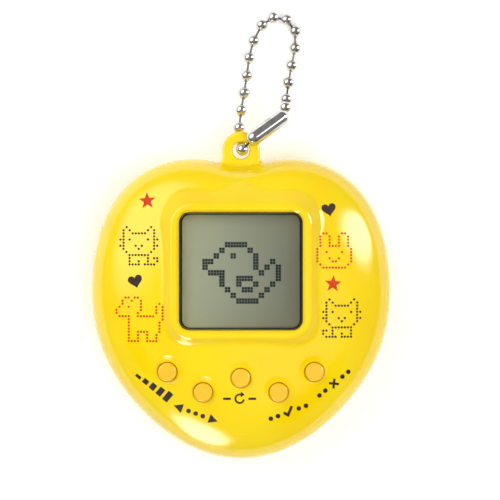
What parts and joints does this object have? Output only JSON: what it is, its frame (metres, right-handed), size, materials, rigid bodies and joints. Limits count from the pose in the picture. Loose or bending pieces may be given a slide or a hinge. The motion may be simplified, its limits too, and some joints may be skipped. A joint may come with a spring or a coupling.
{
  "type": "virtual pet keychain",
  "caption": "Heart-shaped handheld virtual pet with a square screen in a raised frame, press buttons, a battery door and a ball chain through its lug.",
  "frame": {"origin": "centre of the flat back face, midway across the body and midway between its top and bottom", "axes": "+Z out of the front face, +Y towards the keychain lug, +X to the right of a person facing the screen"},
  "size_m": [0.0478, 0.0721, 0.0169],
  "materials": {
    "shell_plastic": "glossy injection-moulded yellow ABS",
    "clear_lens": "clear moulded acrylic, printed black at its border",
    "lcd_glass": "thin clear display glass",
    "lcd_film": "grey-green polarising film",
    "holder_plastic": "plain off-white plastic",
    "rubber": "silicone rubber",
    "board": "green solder-masked board",
    "resin": "black resin",
    "ceramic_chip": "fired ceramic with silvered faces",
    "screw_steel": "zinc-plated steel",
    "cell_steel": "bright nickel-plated steel",
    "contact_metal": "nickel-plated spring strip",
    "brass": "rolled brass",
    "lead_insulation": "soft insulated wire",
    "chain_chrome": "nickel-plated steel, polished"
  },
  "bodies": {
    "case": {"battery_contact_negative": "contact_metal", "battery_contact_positive": "contact_metal", "board_screws": "screw_steel", "button_cell_left": "cell_steel", "button_cell_right": "cell_steel", "buzzer_ceramic": "ceramic_chip", "buzzer_leads": "lead_insulation", "buzzer_plate": "brass", "case_screws": "screw_steel", "chip_blob": "resin", "chip_capacitors": "ceramic_chip", "chip_resistors": "resin", "circuit_board": "board", "front_shell": "shell_plastic", "lcd_front_glass": "lcd_glass", "lcd_front_polariser": "lcd_film", "lcd_holder": "holder_plastic", "lcd_rear_glass": "lcd_glass", "lcd_reflector": "lcd_film", "rear_shell": "shell_plastic", "rubber_dome_left": "rubber", "rubber_dome_lower_left": "rubber", "rubber_dome_lower_right": "rubber", "rubber_dome_middle": "rubber", "rubber_dome_right": "rubber", "window_lens": "clear_lens", "zebra_strip": "rubber"},
    "battery_door": {"battery_cover": "shell_plastic", "battery_cover_screw": "screw_steel", "battery_cover_contact": "contact_metal"},
    "button_left": {"button_cap_left": "shell_plastic"},
    "button_lower_left": {"button_cap_lower_left": "shell_plastic"},
    "button_middle": {"button_cap_middle": "shell_plastic"},
    "button_lower_right": {"button_cap_lower_right": "shell_plastic"},
    "button_right": {"button_cap_right": "shell_plastic"},
    "chain_01": {"chain_bead_01": "chain_chrome"},
    "chain_02": {"chain_bead_02": "chain_chrome"},
    "chain_03": {"chain_bead_03": "chain_chrome"},
    "chain_04": {"chain_bead_04": "chain_chrome"},
    "chain_05": {"chain_bead_05": "chain_chrome"},
    "chain_06": {"chain_bead_06": "chain_chrome"},
    "chain_07": {"chain_bead_07": "chain_chrome"},
    "chain_08": {"chain_bead_08": "chain_chrome"},
    "chain_09": {"chain_bead_09": "chain_chrome"},
    "chain_10": {"chain_bead_10": "chain_chrome"},
    "chain_11": {"chain_bead_11": "chain_chrome"},
    "chain_12": {"chain_bead_12": "chain_chrome"},
    "chain_13": {"chain_bead_13": "chain_chrome"},
    "chain_14": {"chain_bead_14": "chain_chrome"},
    "chain_15": {"chain_bead_15": "chain_chrome"},
    "chain_16": {"chain_bead_16": "chain_chrome"},
    "chain_17": {"chain_bead_17": "chain_chrome"},
    "chain_clasp": {"chain_bead_18": "chain_chrome", "chain_connector": "chain_chrome", "chain_bead_19": "chain_chrome"}
  },
  "joints": [
    {"name": "battery_door_lift", "type": "slide", "parent": "case", "child": "battery_door", "axis": [0, 0, -1], "range_m": [0, 0.008]},
    {"name": "button_left_press", "type": "slide", "parent": "case", "child": "button_left", "axis": [0, 0, -1], "range_m": [0, 0.0006], "stiffness_N_per_m": 1500, "deforming": ["rubber_dome_left"]},
    {"name": "button_lower_left_press", "type": "slide", "parent": "case", "child": "button_lower_left", "axis": [0, 0, -1], "range_m": [0, 0.0006], "stiffness_N_per_m": 1500, "deforming": ["rubber_dome_lower_left"]},
    {"name": "button_middle_press", "type": "slide", "parent": "case", "child": "button_middle", "axis": [0, 0, -1], "range_m": [0, 0.0006], "stiffness_N_per_m": 1500, "deforming": ["rubber_dome_middle"]},
    {"name": "button_lower_right_press", "type": "slide", "parent": "case", "child": "button_lower_right", "axis": [0, 0, -1], "range_m": [0, 0.0006], "stiffness_N_per_m": 1500, "deforming": ["rubber_dome_lower_right"]},
    {"name": "button_right_press", "type": "slide", "parent": "case", "child": "button_right", "axis": [0, 0, -1], "range_m": [0, 0.0006], "stiffness_N_per_m": 1500, "deforming": ["rubber_dome_right"]},
    {"name": "chain_swing", "type": "hinge", "parent": "case", "child": "chain_01", "pos_m": [0.0002, 0.02545, 0.00915], "axis": [0, 0, 1], "range_deg": [-30, 30]},
    {"name": "chain_bend_02", "type": "hinge", "parent": "chain_01", "child": "chain_02", "pos_m": [0.00013, 0.02605, 0.00708], "axis": [0, 0, 1], "range_deg": [0, 20]},
    {"name": "chain_bend_03", "type": "hinge", "parent": "chain_02", "child": "chain_03", "pos_m": [-0.00018, 0.02823, 0.00558], "axis": [0, 0, 1], "range_deg": [0, 20]},
    {"name": "chain_bend_04", "type": "hinge", "parent": "chain_03", "child": "chain_04", "pos_m": [-0.00009, 0.03108, 0.00468], "axis": [0, 0, 1], "range_deg": [0, 20]},
    {"name": "chain_bend_05", "type": "hinge", "parent": "chain_04", "child": "chain_05", "pos_m": [0.00035, 0.03393, 0.00377], "axis": [0, 0, 1], "range_deg": [0, 20]},
    {"name": "chain_bend_06", "type": "hinge", "parent": "chain_05", "child": "chain_06", "pos_m": [0.00078, 0.03678, 0.00287], "axis": [0, 0, 1], "range_deg": [0, 20]},
    {"name": "chain_bend_07", "type": "hinge", "parent": "chain_06", "child": "chain_07", "pos_m": [0.00118, 0.03971, 0.00211], "axis": [0, 0, 1], "range_deg": [0, 20]},
    {"name": "chain_bend_08", "type": "hinge", "parent": "chain_07", "child": "chain_08", "pos_m": [0.00178, 0.04253, 0.00149], "axis": [0, 0, 1], "range_deg": [0, 20]},
    {"name": "chain_bend_09", "type": "hinge", "parent": "chain_08", "child": "chain_09", "pos_m": [0.00292, 0.04514, 0.0011], "axis": [0, 0, 1], "range_deg": [0, 20]},
    {"name": "chain_bend_10", "type": "hinge", "parent": "chain_09", "child": "chain_10", "pos_m": [0.00444, 0.04668, 0.001], "axis": [0, 0, 1], "range_deg": [0, 20]},
    {"name": "chain_bend_11", "type": "hinge", "parent": "chain_10", "child": "chain_11", "pos_m": [0.00649, 0.04696, 0.001], "axis": [0, 0, 1], "range_deg": [0, 20]},
    {"name": "chain_bend_12", "type": "hinge", "parent": "chain_11", "child": "chain_12", "pos_m": [0.00824, 0.04568, 0.001], "axis": [0, 0, 1], "range_deg": [0, 20]},
    {"name": "chain_bend_13", "type": "hinge", "parent": "chain_12", "child": "chain_13", "pos_m": [0.00877, 0.04306, 0.0012], "axis": [0, 0, 1], "range_deg": [0, 20]},
    {"name": "chain_bend_14", "type": "hinge", "parent": "chain_13", "child": "chain_14", "pos_m": [0.00837, 0.04018, 0.00178], "axis": [0, 0, 1], "range_deg": [-15, 20]},
    {"name": "chain_bend_15", "type": "hinge", "parent": "chain_14", "child": "chain_15", "pos_m": [0.00782, 0.03736, 0.00262], "axis": [0, 0, 1], "range_deg": [-15, 20]},
    {"name": "chain_bend_16", "type": "hinge", "parent": "chain_15", "child": "chain_16", "pos_m": [0.00741, 0.03459, 0.00373], "axis": [0, 0, 1], "range_deg": [-15, 20]},
    {"name": "chain_bend_17", "type": "hinge", "parent": "chain_16", "child": "chain_17", "pos_m": [0.00716, 0.03276, 0.00581], "axis": [0, 0, 1], "range_deg": [-15, 20]},
    {"name": "chain_clasp_bend", "type": "hinge", "parent": "chain_17", "child": "chain_clasp", "pos_m": [0.00669, 0.0311, 0.00818], "axis": [0, 0, 1], "range_deg": [-15, 20]}
  ]
}
